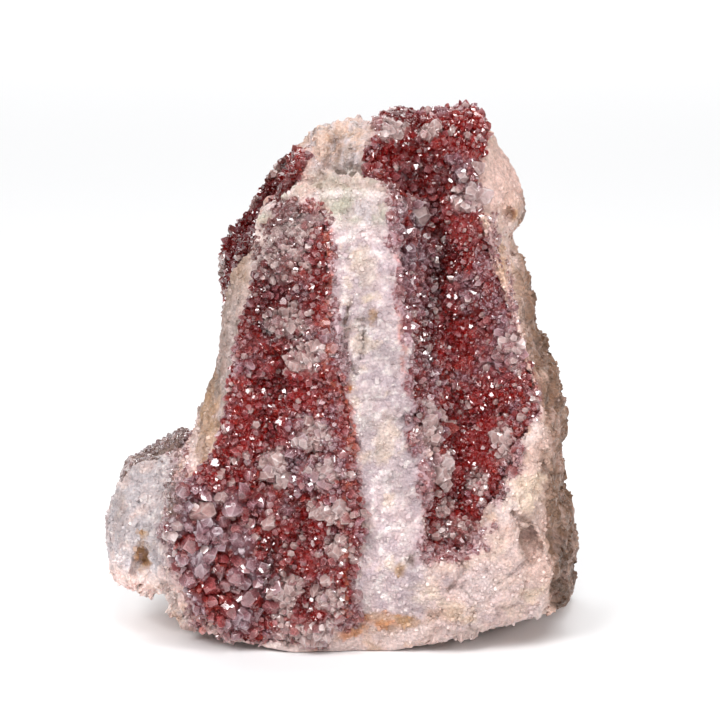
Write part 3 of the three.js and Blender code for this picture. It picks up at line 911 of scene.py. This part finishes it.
def bed_of(node, lift, fade):
    """The ground that a hollow's crystals stand on, in rounded heads."""
    bed = copy_of(node, node + "_bed")
    remeshed(bed, 0.8)
    softened(bed, 4)
    p, n = vertices_of(bed)
    height = heads(p)
    rim = step(4.0, 1.2, np.array([ROCK.find_nearest(q)[3] for q in p.tolist()]))
    p = p + n * (0.35 * cloud(p, 3, 2.2, 2) + (1 - rim) * (3.0 * height - 1.8) + 1.0 * rim)[:, None]
    if lift:
        p = p + n * lift(p)[:, None]
    moved(bed, p)
    painted(bed, 0.6 * toned(p, fade)[0])
    bed.data.shade_smooth()
    bed.data.materials.append(BED)
    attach(bed, "root")
    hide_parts(node)
    return bed


def off_rock(p, n):
    """True where a place on a bed is open to the air."""
    return uncovered(ROCK, p, n)


def crust(node, samples, size, large, lift=None, fade=None):
    """The bed and the crystals of one hollow, of size(places) mm in radius, the large ones large times that."""
    bed = bed_of(node, lift, fade)
    spots, ways = spread_over(bed, samples, lambda q: 1.08 * size(q), off_rock)
    radii = size(spots) * dice.lognormal(0.05, 0.25, len(spots))
    foot, tip = toned(spots, fade)
    frosty = dice.random(len(spots)) < 0.95 * share_of(PALE, spots) + 0.03
    for kind, mine, finish in (("points", ~frosty, DRUSE), ("frosted", frosty, FROSTED)):
        frost = 0.72 * (finish is FROSTED)
        frosts = np.full(mine.sum(), frost)
        feet = blend(foot[mine], FROST * 0.6, frosts)
        tips = blend(tip[mine], FROST, frosts)
        wide = radii[mine] * (1 + 0.35 * frost)
        forms = CRYSTALS if frost else CRYSTALS[:3] + 2 * POINTS
        sunk = 0.4 - 0.4 * frost
        grown(f"{node}_{kind}", finish, forms, spots[mine], ways[mine], wide, feet, tips, sunk=sunk)
    spots, ways = spread_over(bed, samples // 4, lambda q: 2.8 * size(q), off_rock)
    radii = (large - 0.3 * step(104, 112, spots[:, 2])) * size(spots)
    radii = radii * dice.lognormal(0, 0.28, len(spots)).clip(0.6, 1.3)
    foot, tip = toned(spots, fade)
    tip = blend(tip, MAUVE, np.full(len(spots), 0.25))
    tip = blend(tip, GLASSY, dice.random(len(spots)) * (0.4 - 0.25 * share_of(RED, spots)))
    grown(node + "_crystals", BOLD, CRYSTALS, spots, ways, radii, foot, tip, sunk=0.25)


def left_fade(p):
    """Above this line the left crystals are as pale as the block, and smaller."""
    x, _, z = p.T
    top = np.interp(x, (-28, -24.7, -20.9, -15.8, -8.7, -4), (66, 76, 86, 94.5, 98, 98.4))
    return step(-0.8, 1.2, z - top + 1.6 * cloud(p, 4, 6.4, 3))


def left_lift(p):
    """Keeps the left crust low where it fades."""
    return -0.9 * left_fade(p)


def left_size(p):
    """The left crystals are larger where they are mauve or pale, and smaller where they are red."""
    size = 0.66 + 0.55 * share_of(LOW_MAUVES, p) + 0.2 * share_of(PALE, p) - 0.14 * share_of(RED, p)
    return (1 - 0.35 * left_fade(p)) * size


def right_size(p):
    """The right crystals are smaller where they are red, but not on the crown."""
    crown = step(97, 104, p[:, 2])
    size = 0.62 + 0.3 * share_of(MAUVES, p) + 0.15 * share_of(PALE, p)
    return size - 0.16 * share_of(RED, p) * (1 - crown) + 0.1 * crown


def right_lift(p):
    """Keeps the right crust low on top of the crown, most of all at its left."""
    x, _, z = p.T
    return -2.6 * step(108, 114, z) * step(19, 15, x) - 0.7 * step(112, 118, z)


def rear_lift(p):
    """Keeps the rear crust low at its upper left edge."""
    x, _, z = p.T
    return -2.6 * step(7, 1, x + 31 - 0.42 * (z - 76)) * step(89, 96, z)


def rear_fade(p):
    """Towards the back and the foot the rear crystals turn as pale as the block."""
    _, y, z = p.T
    return step(0.85, 1.15, np.hypot((y - 4) / 16, (z - 96) / 22) + 0.4 * cloud(p, 6, 3.9, 3))


crust("left_druse", 70000, left_size, 1.6, left_lift, left_fade)
crust("right_druse", 70000, right_size, 1.5, right_lift)
crust("rear_druse", 16000, same_everywhere(0.78), 1.2, rear_lift, rear_fade)
crust("lobe_druse", 5000, same_everywhere(0.45), 1.1)


# ---------------------------------------------------------------- sugar and fringes on the block


def creeping(p, n):
    """How far crystals creep onto the block at places p with normals n, from 0 to 1."""
    return share_of(CREEP, p) * step(0.3, -0.1, n[:, 1])


def fringe_keep(p, n):
    """True close to the crusts, where the crystals run out over the rock."""
    creep = creeping(p, n)
    ragged = step(-22, -16, p[:, 1]) * step(-8, -14, p[:, 0]) * step(113, 109, p[:, 2])
    reach = 1.3 + 2.0 * cloud(p, 5, 3.3, 3) + 1.6 * creep + ragged * (1.2 + 4 * cloud(p, 7, 8.8, 2))
    some = (off_crusts(p) + 0.8 * dice.random(len(p)) < reach.clip(0.7)) | (creep > 0.35)
    some[some] = uncovered(CRUSTS, p[some], n[some])
    return some & (p[:, 2] > 1)


spots, ways = spread_over(block, 90000, same_everywhere(0.78), fringe_keep)
away = off_crusts(spots)
own = block_tints(spots)
foot, tip = druse_tones(spots, np.ones(len(spots)))
druse_near = np.maximum(creeping(spots, ways), step(-22, -16, spots[:, 1]) * step(-8, -14, spots[:, 0]))
edge = step(0.6, 2.6, away) * (1 - 0.8 * druse_near) * dice.uniform(0.7, 1, len(spots))
foot = blend(foot, own, edge)
tip = blend(tip, own, edge)
tip = blend(tip, FROST, 0.35 * dice.random(len(spots)))
radii = np.maximum((0.95 - 0.12 * away).clip(0.45), 0.95 * creeping(spots, ways))
radii = radii * dice.lognormal(0, 0.3, len(spots))
forms = CRYSTALS[:3] + 2 * POINTS
grown("quartz_block_fringe", DRUSE, forms, spots, ways, radii, foot, tip, tilt=0.4)


def sugar(name, count, near, size, tall, keep):
    """Grains like sugar on the block."""
    spots, ways = spread_over(block, count, lambda q: near * (1 + 0.3 * cloud(q, 8, 5.1, 2)), keep)
    own = block_tints(spots)
    light = (1.06 + dice.normal(0, 0.13, len(spots)))[:, None]
    tip = blend(own * light, SNOW, 0.6 * dice.random(len(spots)) ** 2 * step(0.35, 0.6, own[:, 0]))
    radii = size * dice.lognormal(0, 0.3, len(spots))
    grown(name, GRAINS, SUGAR, spots, ways, radii, own, tip, tilt=0.6, sunk=0.35, tall=tall)


def sugared(facing):
    """Where grains sit, on the faces that facing picks: few on the smooth parts and in the pits."""

    def keep(p, n):
        x, _, z = p.T
        smooth = 0.8 * patch(p, 37, 104, 8, 14, 0.2) + 0.6 * step(-38, -43, x) * step(22, 28, z)
        smooth = smooth + 0.8 * step(104, 108, z)
        smooth = np.maximum(smooth, 0.75 * step(0.05, 0.3, cloud(p, 7, 6.9, 2)))
        smooth = np.maximum(smooth, 0.85 * step(-20, -25, x) * step(44, 54, z) * step(100, 92, z))
        smooth = np.maximum(smooth, 0.8 * step(0.4, 0.7, n[:, 0]) * step(30, 40, x))
        smooth = np.maximum(smooth, pitted(p, 1.5))
        some = (dice.random(len(p)) > smooth) & facing(n) & (z > 1.5)
        some[some] = uncovered(CRUSTS, p[some], n[some])
        return some

    return keep


sugar("quartz_block_sugar", 90000, 0.8, 0.46, (0.6, 1.0), sugared(lambda n: n[:, 1] < 0.15))
sugar("quartz_block_far_sugar", 60000, 1.1, 0.4, (0.4, 0.8), sugared(lambda n: n[:, 1] >= 0.15))


# ---------------------------------------------------------------- camera, light and floor

TARGET = Vector((3.25, 1.1, 63)) * MM
RISE = math.radians(10)
DISTANCE = 0.62

camera = bpy.data.objects.new("camera", bpy.data.cameras.new("camera"))
scene.collection.objects.link(camera)
camera.data.lens = 130.2
back = Vector((0, -math.cos(RISE), math.sin(RISE)))
camera.location = TARGET + back * DISTANCE
camera.rotation_euler = (-back).to_track_quat("-Z", "Y").to_euler()
camera.data.clip_end = 20
scene.camera = camera


def softbox(name, place, wide, tall, power):
    """A lamp of wide by tall metres that faces the specimen."""
    light = bpy.data.lights.new(name, "AREA")
    light.shape = "RECTANGLE"
    light.size, light.size_y = wide, tall
    light.energy = power
    lamp = bpy.data.objects.new(name, light)
    scene.collection.objects.link(lamp)
    lamp.location = place
    lamp.rotation_euler = (TARGET - Vector(place)).to_track_quat("-Z", "Y").to_euler()


softbox("key", (-0.6, -0.75, 0.8), 0.5, 0.5, 10)
softbox("wide", (0.2, -0.8, 1.1), 0.9, 0.5, 6)
softbox("front", (0.35, -1.1, 0.45), 0.16, 0.16, 1.5)
softbox("right", (0.8, -0.6, 0.5), 0.25, 0.25, 3)
softbox("high", (0.1, -0.5, 1.2), 0.2, 0.2, 2)
softbox("ceiling", (0.0, 4.2, 3.0), 6, 7, 235)
bpy.data.objects["ceiling"].rotation_euler = (0, 0, 0)

world = bpy.data.worlds.new("studio")
scene.world = world
world.use_nodes = True
world.node_tree.nodes["Background"].inputs["Color"].default_value = (1, 1, 1, 1)
world.node_tree.nodes["Background"].inputs["Strength"].default_value = 0.2
scene.view_settings.view_transform = "Standard"

bm = bmesh.new()
bmesh.ops.create_grid(bm, x_segments=1, y_segments=1, size=9)
floor_mesh = bpy.data.meshes.new("floor")
bm.to_mesh(floor_mesh)
bm.free()
floor = bpy.data.objects.new("floor", floor_mesh)
scene.collection.objects.link(floor)
paper, _, shader, _ = material("white_floor")
shader.inputs["Base Color"].default_value = (0.9, 0.902, 0.91, 1)
shader.inputs["Roughness"].default_value = 0.7
floor.data.materials.append(paper)
